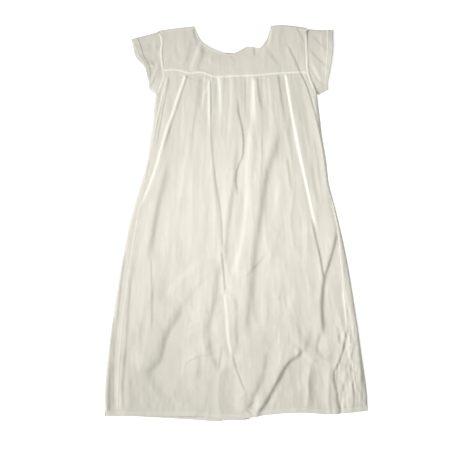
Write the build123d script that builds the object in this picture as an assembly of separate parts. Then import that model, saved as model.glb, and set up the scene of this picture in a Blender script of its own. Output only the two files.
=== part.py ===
"""Back-opening patient gown of woven cotton, laid flat on its back with the front up.

Units are millimetres. +Y runs from the hem to the neck and +Z up from the surface it lies on.
The origin is the centre of the bottom of the bounding box. Left and right are the wearer's, so
left is +X. The front lies a hollow above the back, and seams along the sides, shoulders and
armholes join the two layers. Because they turn, the lower skirt is cut off at its fold line and
each sleeve at its armhole seam.
"""
from build123d import *
import os

# Body, laid flat
gown_length = 1080.0        # neck point to the lowest point of the back hem
hem_width = 718.0           # between the two hem corners
chest_width = 446.0         # between the two underarm points
shoulder_width = 404.0      # between the two shoulder points
shoulder_drop = 15.0        # neck point down to the shoulder point
armhole_depth = 177.0       # shoulder point down to the underarm point
armhole_inset = 14.0        # how far the armhole curve cuts in from its chord
hem_corner_rise = 18.0      # lowest point of the back hem up to the hem corners
front_hem_rise = 7.0        # lowest point of the back hem up to that of the front hem
neck_lean = -9.0            # the neck and shoulders lie this far to the wearer's right
chest_lean = -3.0           # and the underarms this far

# Neck and yoke
neck_width = 210.0
front_neck_drop = 76.0
back_neck_drop = 74.0
neck_binding_width = 7.0
yoke_depth = 131.0          # neck point down to the middle of the yoke seam
yoke_seam_width = 9.0

# Sleeves. Each lies at an angle of its own.
sleeve_top_length = 76.0
sleeve_hem_depth = 15.0
sleeve_droop = {"left": 0.0, "right": 17.0}             # degrees that the top fold falls
sleeve_underarm_length = {"left": 34.0, "right": 30.0}  # what lies clear of the body
sleeve_underarm_angle = {"left": 30.0, "right": 36.0}   # degrees that it lies above level

# Seams and hems
side_seam_width = 6.0
shoulder_seam_width = 6.0
armhole_seam_width = 7.0
sleeve_fold_width = 2.0
underarm_seam_width = 4.0
skirt_hem_depth = 14.0

# Back opening, with a touch closure at the neck
back_overlap = 60.0
placket_join = 5.0          # part of a placket that is sewn to its back panel
placket_clearance = 1.0     # edge of the left placket to the step of the right one
patch_width = 50.0
patch_height = 25.0
patch_below_neck = 16.0     # back neck edge down to the patches

# Pleats of the front skirt: x at the yoke seam, x at the lower end, length, width at the seam
front_pleats = [
    (-142.0, -258.0, 350.0, 26.0),
    (-66.0, -45.0, 430.0, 18.0),
    (44.0, 8.0, 450.0, 18.0),
    (132.0, 232.0, 480.0, 26.0),
]
# and of each back skirt: distances from the centre line in place of x
back_pleats = [
    (85.0, 115.0, 260.0, 18.0),
    (145.0, 195.0, 260.0, 18.0),
]
pleat_end_width = 5.0

# Layers
cloth = 0.5                 # one layer of woven cotton
seam = 1.2                  # felled seam, hem or binding, of three layers or more
placket = 0.8               # back placket, of two layers
patch = 0.8                 # each half of the touch closure
pleat_rise = 1.0            # pleat above the cloth beside it
hollow = 7.5                # cloth of the back up to the cloth of the front

# Turning parts
fold_line_rise = 430.0      # lowest point of the back hem up to the skirt's fold line
joint_gap = 0.4             # between two parts that turn against each other

sides = {"left": 1, "right": -1}
top = gown_length / 2
bottom = -gown_length / 2
yoke_line = top - yoke_depth
fold_line = bottom + fold_line_rise
armhole_middle = top - shoulder_drop - armhole_depth / 2
front_low = cloth + hollow
front_high = front_low + cloth
seam_high = front_low + seam
patch_low = placket
right_placket_low = placket + 2 * patch
far = 2 * gown_length       # beyond the gown on every side


def polygon(*points):
    """Flat face inside straight edges through the points."""
    return make_face(Polyline(*points, close=True))


def above(height):
    return polygon((-far, height), (far, height), (far, height + far), (-far, height + far))


def beyond(side, distance):
    """Everything on one side of the centre line, from a distance outwards."""
    return polygon((side * distance, -far), (side * far, -far), (side * far, far), (side * distance, far))


def band_along(start, end, width, inside):
    """Endless band along the line from start to end, on the side where the point inside lies."""
    start, end, inside = Vector(*start), Vector(*end), Vector(*inside)
    along = (end - start).normalized()
    across = Vector(-along.Y, along.X) * width
    if across.dot(inside - start) < 0:
        across = across * -1
    first = start - along * far
    last = end + along * far
    corners = [first, last, last + across, first + across]
    return polygon(*[(corner.X, corner.Y) for corner in corners])


def slab(region, low, high):
    """Solid over a flat region, between two heights."""
    return Pos(0, 0, low) * extrude(region, amount=high - low, dir=(0, 0, 1))


def neck_point(side):
    return (neck_lean + side * neck_width / 2, top)


def shoulder_point(side):
    return (neck_lean + side * shoulder_width / 2, top - shoulder_drop)


def underarm_point(side):
    return (chest_lean + side * chest_width / 2, top - shoulder_drop - armhole_depth)


def hem_corner(side):
    return (side * hem_width / 2, bottom + hem_corner_rise)


def neck_disc(drop, margin):
    """Disc that cuts the neckline, larger by the margin."""
    radius = ((neck_width / 2) ** 2 + drop**2) / (2 * drop)
    return Pos(neck_lean, top - drop + radius, 0) * Circle(radius + margin)


def armhole_disc(side, margin):
    """Disc that cuts the armhole, larger by the margin."""
    shoulder, underarm = Vector(*shoulder_point(side)), Vector(*underarm_point(side))
    deepest = (shoulder + underarm) * 0.5 - Vector(side * armhole_inset, 0)
    arc = ThreePointArc(shoulder, deepest, underarm)
    return Pos(arc.arc_center.X, arc.arc_center.Y, 0) * Circle(arc.radius + margin)


def above_hem(middle_rise, lift):
    """Everything above a hem curve, with the curve lifted."""
    corner_height = bottom + hem_corner_rise + lift
    left_corner, right_corner = (hem_width / 2, corner_height), (-hem_width / 2, corner_height)
    sides_and_top = Polyline(left_corner, (far, corner_height), (far, far), (-far, far), (-far, corner_height), right_corner)
    curve = ThreePointArc(right_corner, (0, bottom + middle_rise + lift), left_corner)
    return make_face(sides_and_top + curve)


def layer_outline(middle_rise, neck_drop):
    """One layer of the body, with its neckline, armholes and hem curve."""
    corners = []
    for side in (-1, 1):
        underarm, corner = Vector(*underarm_point(side)), Vector(*hem_corner(side))
        below_corner = corner + (corner - underarm).normalized() * 3 * hem_corner_rise
        line = [(below_corner.X, below_corner.Y), underarm_point(side), shoulder_point(side), neck_point(side)]
        corners += line if side == -1 else line[::-1]
    outline = (polygon(*corners) & above_hem(middle_rise, 0)) - neck_disc(neck_drop, 0)
    for side in sides.values():
        outline -= armhole_disc(side, 0)
    return outline


front = layer_outline(front_hem_rise, front_neck_drop)
back = layer_outline(0, back_neck_drop)


def upper(region):
    """Part of a region that stays when the skirt is folded."""
    return region & above(fold_line + joint_gap / 2)


def lower(region):
    """Part of a region that turns when the skirt is folded."""
    return region - above(fold_line - joint_gap / 2)


def shoulder_band(side):
    band = band_along(neck_point(side), shoulder_point(side), shoulder_seam_width, (0, 0))
    return band & above(armhole_middle) & beyond(side, 0)


def side_band(side):
    band = band_along(underarm_point(side), hem_corner(side), side_seam_width, (0, 0))
    return band - above(armhole_middle)


def shoulder_region(side):
    return (shoulder_band(side) & front) - armhole_disc(side, armhole_seam_width)


def side_region(side):
    return (side_band(side) & front) - armhole_disc(side, armhole_seam_width)


def armhole_region(side):
    return front & armhole_disc(side, armhole_seam_width) & beyond(side, 0)


def inner_region(layer):
    """A layer without the seams at its edges."""
    for side in sides.values():
        layer = layer - shoulder_region(side) - side_region(side) - armhole_disc(side, armhole_seam_width)
    return layer


front_inner = inner_region(front)
back_inner = inner_region(back)
front_body = front_inner - neck_disc(front_neck_drop, neck_binding_width)
back_body = back_inner - neck_disc(back_neck_drop, neck_binding_width)


def pleat(start_x, end_x, length, width):
    """Tapered strip of doubled cloth, from the yoke seam down."""
    high, low = yoke_line - yoke_seam_width / 2, yoke_line - yoke_seam_width / 2 - length
    half_high, half_low = width / 2, pleat_end_width / 2
    return polygon(
        (start_x - half_high, high), (start_x + half_high, high),
        (end_x + half_low, low), (end_x - half_low, low),
    )


def front_skirt():
    """Skirt front with its pleats, above the hem: the upper part and the lower part."""
    region = (front_body - above(yoke_line - yoke_seam_width / 2)) & above_hem(front_hem_rise, skirt_hem_depth)
    top_part = slab(upper(region), front_low, front_high)
    bottom_part = slab(lower(region), front_low, front_high)
    for sizes in front_pleats:
        fold = pleat(*sizes)
        top_part += slab(upper(fold & region), front_low, front_high + pleat_rise)
        if lower(fold & region).faces():
            bottom_part += slab(lower(fold & region), front_low, front_high + pleat_rise)
    return top_part, bottom_part


def back_skirt(side):
    """Half of the skirt back, outside the plackets: the upper part and the lower part."""
    outside = back_body & beyond(side, back_overlap / 2 + placket_join)
    region = (outside - above(yoke_line - yoke_seam_width / 2)) & above_hem(0, skirt_hem_depth)
    top_part = slab(upper(region), 0, cloth)
    bottom_part = slab(lower(region), 0, cloth)
    for start, end, length, width in back_pleats:
        fold = pleat(side * start, side * end, length, width)
        top_part += slab(upper(fold & region), 0, cloth + pleat_rise)
        if lower(fold & region).faces():
            bottom_part += slab(lower(fold & region), 0, cloth + pleat_rise)
    return top_part, bottom_part


def yoke(layer):
    return layer & above(yoke_line + yoke_seam_width / 2)


def yoke_seam(layer):
    return (layer & above(yoke_line - yoke_seam_width / 2)) - above(yoke_line + yoke_seam_width / 2)


def armhole_seam(side):
    """Seam that goes right round the armhole: a strip on each layer, joined at both ends."""
    strip = armhole_region(side)
    ends = strip & (shoulder_band(side) + side_band(side))
    return slab(strip, 0, seam) + slab(strip, front_low, seam_high) + slab(ends, 0, seam_high)


def left_placket(cut):
    """Outer edge of the opening, sewn to the left back panel, as an upper or a lower part."""
    whole = back_inner & beyond(-1, -(back_overlap / 2 + placket_join)) & beyond(1, -back_overlap / 2)
    return slab(cut(whole), 0, placket)


def right_placket(cut):
    """Inner edge of the opening: sewn to the right back panel, it steps up over the left placket."""
    step = back_overlap / 2 + placket_clearance
    foot = beyond(-1, step) - beyond(-1, back_overlap / 2 + placket_join)
    riser = beyond(-1, step) - beyond(-1, step + placket)
    top_strip = beyond(-1, -back_overlap / 2) - beyond(-1, step + placket)
    high = right_placket_low + placket
    solid = slab(cut(back_inner & foot), 0, placket) + slab(cut(back_inner & riser), 0, high)
    return solid + slab(cut(back_inner & top_strip), right_placket_low, high)


def touch_patch(low):
    """One half of the touch closure, flat between the plackets just below the neck."""
    middle = top - back_neck_drop - patch_below_neck - patch_height / 2
    return slab(Pos(0, middle, 0) * Rectangle(patch_width, patch_height), low, low + patch)


def polar(start, length, angle):
    end = Vector(*start) + Vector(length, 0).rotate(Axis.Z, angle)
    return (end.X, end.Y)


def sleeve_corners(name):
    """Outer ends of the top fold and of the underarm seam."""
    side = sides[name]
    droop, rise = sleeve_droop[name], sleeve_underarm_angle[name]
    fold_angle = -droop if side == 1 else 180 + droop
    seam_angle = rise if side == 1 else 180 - rise
    return (
        polar(shoulder_point(side), sleeve_top_length, fold_angle),
        polar(underarm_point(side), sleeve_underarm_length[name], seam_angle),
    )


def sleeve_regions(name):
    """The sleeve laid flat and its bands: cuff hem, top fold and underarm seam."""
    side = sides[name]
    shoulder, underarm = shoulder_point(side), underarm_point(side)
    fold_end, seam_end = sleeve_corners(name)
    body_side = (0, (shoulder[1] + underarm[1]) / 2)
    flat = polygon(body_side, shoulder, fold_end, seam_end, underarm) & armhole_disc(side, -joint_gap)
    inside = ((shoulder[0] + fold_end[0]) / 2, body_side[1])
    cuff = flat & band_along(fold_end, seam_end, sleeve_hem_depth, inside)
    fold = flat & band_along(shoulder, fold_end, sleeve_fold_width, inside)
    underarm_band = flat & band_along(underarm, seam_end, underarm_seam_width, inside)
    return flat, cuff, fold, underarm_band


def sleeve(name):
    """Short sleeve of one piece of cloth, folded over at the top."""
    flat, cuff, fold, underarm_band = sleeve_regions(name)
    panel = flat - cuff - underarm_band
    return slab(panel, 0, cloth) + slab(panel, front_low, front_high) + slab(fold - cuff, 0, front_high)


def sleeve_hem(name):
    """Turned hem right round the cuff."""
    flat, cuff, fold, underarm_band = sleeve_regions(name)
    ends = cuff & (fold + underarm_band)
    return slab(cuff, 0, seam) + slab(cuff, front_low, seam_high) + slab(ends, 0, seam_high)


def sleeve_underarm_seam(name):
    flat, cuff, fold, underarm_band = sleeve_regions(name)
    return slab(underarm_band - cuff, 0, seam_high)


def body_parts():
    """Every piece of the body by name."""
    parts = {}
    parts["front_yoke"] = slab(yoke(front_body), front_low, front_high)
    parts["front_yoke_seam"] = slab(yoke_seam(front_body), front_low, seam_high)
    parts["front_skirt_upper"], parts["front_skirt_lower"] = front_skirt()
    parts["front_hem"] = slab(front_body - above_hem(front_hem_rise, skirt_hem_depth), front_low, seam_high)
    neck_edge = neck_disc(front_neck_drop, neck_binding_width)
    parts["front_neck_binding"] = slab(front_inner & neck_edge, front_low, seam_high)
    for name, side in sides.items():
        panel = back_body & beyond(side, back_overlap / 2 + placket_join)
        edge = back_inner & beyond(side, back_overlap / 2 + placket_join)
        parts[f"back_yoke_{name}"] = slab(yoke(panel), 0, cloth)
        parts[f"back_yoke_seam_{name}"] = slab(yoke_seam(panel), 0, seam)
        parts[f"back_skirt_upper_{name}"], parts[f"back_skirt_lower_{name}"] = back_skirt(side)
        parts[f"back_hem_{name}"] = slab(panel - above_hem(0, skirt_hem_depth), 0, seam)
        back_edge = neck_disc(back_neck_drop, neck_binding_width)
        parts[f"back_neck_binding_{name}"] = slab(edge & back_edge, 0, seam)
        parts[f"shoulder_seam_{name}"] = slab(shoulder_region(side), 0, seam_high)
        parts[f"armhole_seam_{name}"] = armhole_seam(side)
        parts[f"side_seam_upper_{name}"] = slab(upper(side_region(side)), 0, seam_high)
        parts[f"side_seam_lower_{name}"] = slab(lower(side_region(side)), 0, seam_high)
    for part_name, cut in (("upper", upper), ("lower", lower)):
        parts[f"back_placket_left_{part_name}"] = left_placket(cut)
        parts[f"back_placket_right_{part_name}"] = right_placket(cut)
    parts["closure_patch_hook"] = touch_patch(patch_low)
    parts["closure_patch_loop"] = touch_patch(patch_low + patch)
    return parts


def sleeve_parts():
    """Every piece of the two sleeves by name."""
    parts = {}
    for name in sides:
        parts[f"sleeve_{name}"] = sleeve(name)
        parts[f"sleeve_hem_{name}"] = sleeve_hem(name)
        parts[f"sleeve_underarm_seam_{name}"] = sleeve_underarm_seam(name)
    return parts


os.makedirs("parts", exist_ok=True)
for node, shape in (body_parts() | sleeve_parts()).items():
    export_step(shape, f"parts/{node}.step")
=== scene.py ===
"""Back-opening patient gown of washed white cotton, laid flat with its front up.

Units in this file are millimetres until a mesh is made, and then metres. +Y runs from the hem
to the neck, +X to the wearer's left, and +Z up from the surface that the gown lies on.
"""
import math

import bpy
import numpy as np
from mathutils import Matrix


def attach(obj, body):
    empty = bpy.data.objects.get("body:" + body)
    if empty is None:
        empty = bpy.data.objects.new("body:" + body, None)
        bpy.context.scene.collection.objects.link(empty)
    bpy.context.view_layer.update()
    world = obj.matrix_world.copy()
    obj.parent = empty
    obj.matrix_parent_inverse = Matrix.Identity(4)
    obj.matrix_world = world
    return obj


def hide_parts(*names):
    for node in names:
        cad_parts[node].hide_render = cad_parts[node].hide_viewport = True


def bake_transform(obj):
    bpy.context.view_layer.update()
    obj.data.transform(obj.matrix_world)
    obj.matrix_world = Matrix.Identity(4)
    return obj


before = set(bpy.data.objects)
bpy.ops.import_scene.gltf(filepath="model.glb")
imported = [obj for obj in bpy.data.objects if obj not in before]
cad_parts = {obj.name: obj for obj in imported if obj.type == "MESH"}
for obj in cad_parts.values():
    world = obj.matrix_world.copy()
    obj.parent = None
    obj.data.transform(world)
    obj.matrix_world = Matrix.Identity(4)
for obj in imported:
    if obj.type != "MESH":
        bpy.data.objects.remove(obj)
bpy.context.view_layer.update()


# ------------------------------------------------------------
# Camera: a 70 mm lens straight above the gown, far enough off to leave a margin all round.

LENS = 70.0
SENSOR = 36.0
VIEW_SIDE = 1256.0
VIEW_CENTRE = (-16.0, -19.0)

camera_data = bpy.data.cameras.new("camera")
camera_data.lens = LENS
camera_data.sensor_width = SENSOR
camera = bpy.data.objects.new("camera", camera_data)
camera.location = (VIEW_CENTRE[0] / 1000, VIEW_CENTRE[1] / 1000, VIEW_SIDE * LENS / SENSOR / 1000)
camera_data.clip_end = 20.0
bpy.context.scene.collection.objects.link(camera)
bpy.context.scene.camera = camera


# ------------------------------------------------------------
# Washed cotton: plain-weave cloth, taken as 120 g a square metre, bleached to an off-white and
# laundered soft. Warp threads of uneven thickness leave faint streaks from neck to hem, the
# matt fibres catch the light at grazing angles, and several layers together look whiter. Along
# the pleats the cloth is also drawn whiter, as a painted highlight.

COTTON = "#D7D3C7"
# Whiter cotton where the cloth lies in several thicknesses, also used as a painted highlight along the pleats
COTTON_LAYERED_AND_HIGHLIGHT = "#F8F6EF"
THREAD_SPACING = 1.6        # really 0.4 mm; drawn coarser so that the weave shows
SLUB_WIDTH = 3.5
SLUB_LENGTH = 140.0
WASH_PATCH = 55.0
CRINKLE_WIDTH = 26.0        # fine creases left by washing and folding
CRINKLE_LENGTH = 80.0
CRINKLE_DEPTH = 11.0


def linear(hex_colour):
    """An sRGB hex colour as linear red, green, blue and alpha."""
    channels = [int(hex_colour[i:i + 2], 16) / 255 for i in (1, 3, 5)]
    return [c / 12.92 if c <= 0.04045 else ((c + 0.055) / 1.055) ** 2.4 for c in channels] + [1.0]


def add_node(tree, kind, settings=None, links=None):
    """Add a node; settings are properties or input values by name, links are sockets by input name."""
    node = tree.nodes.new(kind)
    for name, value in (settings or {}).items():
        if name in node.inputs:
            node.inputs[name].default_value = value
        else:
            setattr(node, name, value)
    for name, socket in (links or {}).items():
        tree.links.new(socket, node.inputs[name])
    return node


def new_material(name, roughness, sheen, sheen_roughness):
    """A cloth or thread material; gives its node tree and its shader."""
    material = bpy.data.materials.new(name)
    material.use_nodes = True
    tree = material.node_tree
    tree.nodes.clear()
    shader = add_node(tree, "ShaderNodeBsdfPrincipled", {
        "Roughness": roughness, "Sheen Weight": sheen, "Sheen Roughness": sheen_roughness,
    })
    add_node(tree, "ShaderNodeOutputMaterial", {}, {"Surface": shader.outputs["BSDF"]})
    return material, tree, shader


def mix_colours(tree, shader, factor, low, high):
    """A shade between two sRGB colours, by a factor; shader takes it as its colour if given."""
    tone = add_node(tree, "ShaderNodeMix", {"data_type": "RGBA"}, {"Factor": factor})
    tone.inputs["A"].default_value = linear(low)
    tone.inputs["B"].default_value = linear(high)
    if shader:
        tree.links.new(tone.outputs["Result"], shader.inputs["Base Color"])
    return tone.outputs["Result"]


def add_bump(tree, shader, height, strength, distance):
    """Give a shader the relief of a height; distance is in metres."""
    bump = add_node(tree, "ShaderNodeBump", {"Strength": strength, "Distance": distance}, {"Height": height})
    tree.links.new(bump.outputs["Normal"], shader.inputs["Normal"])


def scaled_place(tree, width, length, depth):
    """The place on the piece, divided by a pattern's size in millimetres along each axis."""
    place = add_node(tree, "ShaderNodeTexCoord")
    scale = (1000 / width, 1000 / length, 1000 / depth)
    mapping = add_node(tree, "ShaderNodeMapping", {"Scale": scale}, {"Vector": place.outputs["Object"]})
    return mapping.outputs["Vector"]


def weave_height(tree, spacing):
    """Height of a plain weave: two sets of threads that cross."""
    rows = []
    for direction in ("X", "Y"):
        cells = scaled_place(tree, spacing, spacing, spacing)
        wave = add_node(tree, "ShaderNodeTexWave", {
            "bands_direction": direction, "Scale": 0.31, "Distortion": 0.6,
            "Detail": 1.0, "Detail Scale": 0.4,
        }, {"Vector": cells})
        rows.append(wave.outputs["Fac"])
    crossed = add_node(tree, "ShaderNodeMath", {"operation": "MULTIPLY"})
    tree.links.new(rows[0], crossed.inputs[0])
    tree.links.new(rows[1], crossed.inputs[1])
    return crossed.outputs["Value"]


def cotton(name, base, layered_and_highlight, thread_spacing, bump):
    """Plain-weave cotton, whiter where the mesh marks it: cloth sewn in several thicknesses, and a painted
    highlight along the pleats.
    """
    material, tree, shader = new_material(name, 0.92, 0.25, 0.45)
    slub = add_node(tree, "ShaderNodeTexNoise", {"Scale": 1.0, "Detail": 4.0, "Roughness": 0.65}, {
        "Vector": scaled_place(tree, SLUB_WIDTH, SLUB_LENGTH, SLUB_LENGTH),
    })
    wash = add_node(tree, "ShaderNodeTexNoise", {"Scale": 1.0, "Detail": 3.0}, {
        "Vector": scaled_place(tree, WASH_PATCH, WASH_PATCH, WASH_PATCH),
    })
    # This attribute whitens the cloth where it is sewn double and, along the pleats, paints a highlight
    layers_and_highlight = add_node(tree, "ShaderNodeAttribute", {"attribute_name": "layers_and_highlight"})
    tone = mix_colours(tree, None, layers_and_highlight.outputs["Fac"], base, layered_and_highlight)
    slub_value = add_node(tree, "ShaderNodeMapRange", {
        "From Min": 0.3, "From Max": 0.7, "To Min": 0.975, "To Max": 1.015,
    }, {"Value": slub.outputs["Fac"]})
    wash_value = add_node(tree, "ShaderNodeMapRange", {
        "From Min": 0.3, "From Max": 0.7, "To Min": 0.98, "To Max": 1.02,
    }, {"Value": wash.outputs["Fac"]})
    streaked = add_node(tree, "ShaderNodeVectorMath", {"operation": "SCALE"}, {
        "Vector": tone, "Scale": slub_value.outputs["Result"],
    })
    washed = add_node(tree, "ShaderNodeVectorMath", {"operation": "SCALE"}, {
        "Vector": streaked.outputs["Vector"], "Scale": wash_value.outputs["Result"],
    })
    tree.links.new(washed.outputs["Vector"], shader.inputs["Base Color"])
    relief = add_node(tree, "ShaderNodeMath", {"operation": "MULTIPLY_ADD"})
    tree.links.new(slub.outputs["Fac"], relief.inputs[0])
    relief.inputs[1].default_value = 1.5
    tree.links.new(weave_height(tree, thread_spacing), relief.inputs[2])
    crinkle = add_node(tree, "ShaderNodeTexNoise", {
        "noise_type": "RIDGED_MULTIFRACTAL", "Scale": 1.0, "Detail": 2.0, "Roughness": 0.4, "Distortion": 0.5,
    }, {"Vector": scaled_place(tree, CRINKLE_WIDTH, CRINKLE_LENGTH, CRINKLE_LENGTH)})
    crinkled = add_node(tree, "ShaderNodeMath", {"operation": "MULTIPLY_ADD"})
    tree.links.new(crinkle.outputs["Fac"], crinkled.inputs[0])
    crinkled.inputs[1].default_value = CRINKLE_DEPTH
    tree.links.new(relief.outputs["Value"], crinkled.inputs[2])
    add_bump(tree, shader, crinkled.outputs["Value"], bump, 0.0003)
    return material


cotton_cloth = cotton("washed_cotton", COTTON, COTTON_LAYERED_AND_HIGHLIGHT, THREAD_SPACING, 0.35)


# ------------------------------------------------------------
# How the gown lies: its outline, and the folds that are pressed or pulled into the front. The
# front rests a few millimetres above the back, and rolls down to it at the sides and shoulders.

HOLLOW = 8.6                # front above the floor in the middle of the gown
EDGE_HEIGHT = 1.9           # front above the floor at a side edge
SIDE_ROLL = 9.0             # width over which the front rolls down to a side edge
SHOULDER_ROLL = 9.0
CLOTH = 0.45
BACK_TOP = 4.1              # highest places of the back, with a cloth's thickness to spare
UNDERARM_HEIGHT = 349.0     # above the middle of the gown, as all heights up the gown are
SHOULDER_HEIGHT = 525.0
SKIRT_TOP = 400.0
SKIRT_SPREAD = 0.34         # how fast the wrinkles of the skirt spread out downwards


def smooth(t):
    """Smooth step from 0 to 1."""
    t = np.clip(t, 0.0, 1.0)
    return t * t * (3 - 2 * t)


def through(*knots):
    """Smooth function through a few (place, value) knots."""
    places, values = (np.array(column, float) for column in zip(*sorted(knots)))
    slopes = np.gradient(values, places)

    def value_at(place):
        place = np.clip(np.asarray(place, float), places[0], places[-1])
        i = np.clip(np.searchsorted(places, place) - 1, 0, len(places) - 2)
        width = places[i + 1] - places[i]
        t = (place - places[i]) / width
        return (
            (2 * t**3 - 3 * t**2 + 1) * values[i] + (t**3 - 2 * t**2 + t) * width * slopes[i]
            + (3 * t**2 - 2 * t**3) * values[i + 1] + (t**3 - t**2) * width * slopes[i + 1]
        )

    return value_at


# Side edges of the body by height above the middle of the gown, armholes included
right_edge = through(
    (-530, -358), (-440, -357), (-310, -343), (-112, -313), (19, -286), (85, -267), (150, -248), (216, -237),
    (281, -227), (325, -223), (352, -216), (374, -206), (400, -198), (430, -202), (463, -206),
        (495, -203), (525, -211),
)
left_edge = through(
    (-530, 360), (-483, 358), (-352, 342), (-221, 323), (-90, 301), (41, 271), (106, 254), (172, 246),
    (237, 235), (303, 227), (352, 219), (385, 207), (412, 198), (445, 196), (486, 194), (527, 193),
)
front_hem_edge = through((-360, -526), (-262, -526), (-95, -528), (-10, -535), (36, -531), (90, -523),
    (177, -517), (258, -521), (360, -512))
back_hem_edge = through((-360, -524), (-262, -528), (-140, -535), (-24, -540), (20, -534), (90, -520),
    (177, -514), (258, -518), (360, -510))
yoke_line = through((-200, 415), (-165, 418), (-120, 408), (-97, 411), (-60, 400), (0, 401), (60, 403),
    (112, 408), (200, 411))
right_shoulder_edge = through((-290, 500), (-260, 510), (-233, 519), (-207, 525), (-160, 532), (-115, 537))
left_shoulder_edge = through((95, 538), (115, 540), (167, 536), (194, 532), (230, 530), (266, 527))
neck_edge = through(
    (-115, 537), (-106, 516), (-96, 498), (-76, 481), (-55, 471), (-24, 461.5), (-5, 463), (14, 472),
        (29, 479.5),
    (47, 478), (67, 478), (77, 490), (87, 508), (95, 538),
)
NECK_SIDES = (-115.0, 95.0)


def top_edge(x):
    """Upper edge of the body: shoulder, neckline, shoulder."""
    x = np.asarray(x, float)
    past_right = np.where(x > NECK_SIDES[1], left_shoulder_edge(x), neck_edge(x))
    return np.where(x < NECK_SIDES[0], right_shoulder_edge(x), past_right)


def soft_noise(x, y, width, length, seed):
    """Smooth random height from about -1 to 1, with lumps of a width and a length."""
    table = np.random.default_rng(seed).standard_normal((64, 64))
    column, row = np.asarray(x) / width + 17.3, np.asarray(y) / length + 29.1
    i, j = np.floor(column).astype(int), np.floor(row).astype(int)
    s, t = column - i, row - j
    s, t = s**3 * (s * (6 * s - 15) + 10), t**3 * (t * (6 * t - 15) + 10)
    lower = table[i % 64, j % 64] * (1 - s) + table[(i + 1) % 64, j % 64] * s
    higher = table[i % 64, (j + 1) % 64] * (1 - s) + table[(i + 1) % 64, (j + 1) % 64] * s
    return (lower * (1 - t) + higher * t) * 0.6


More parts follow.
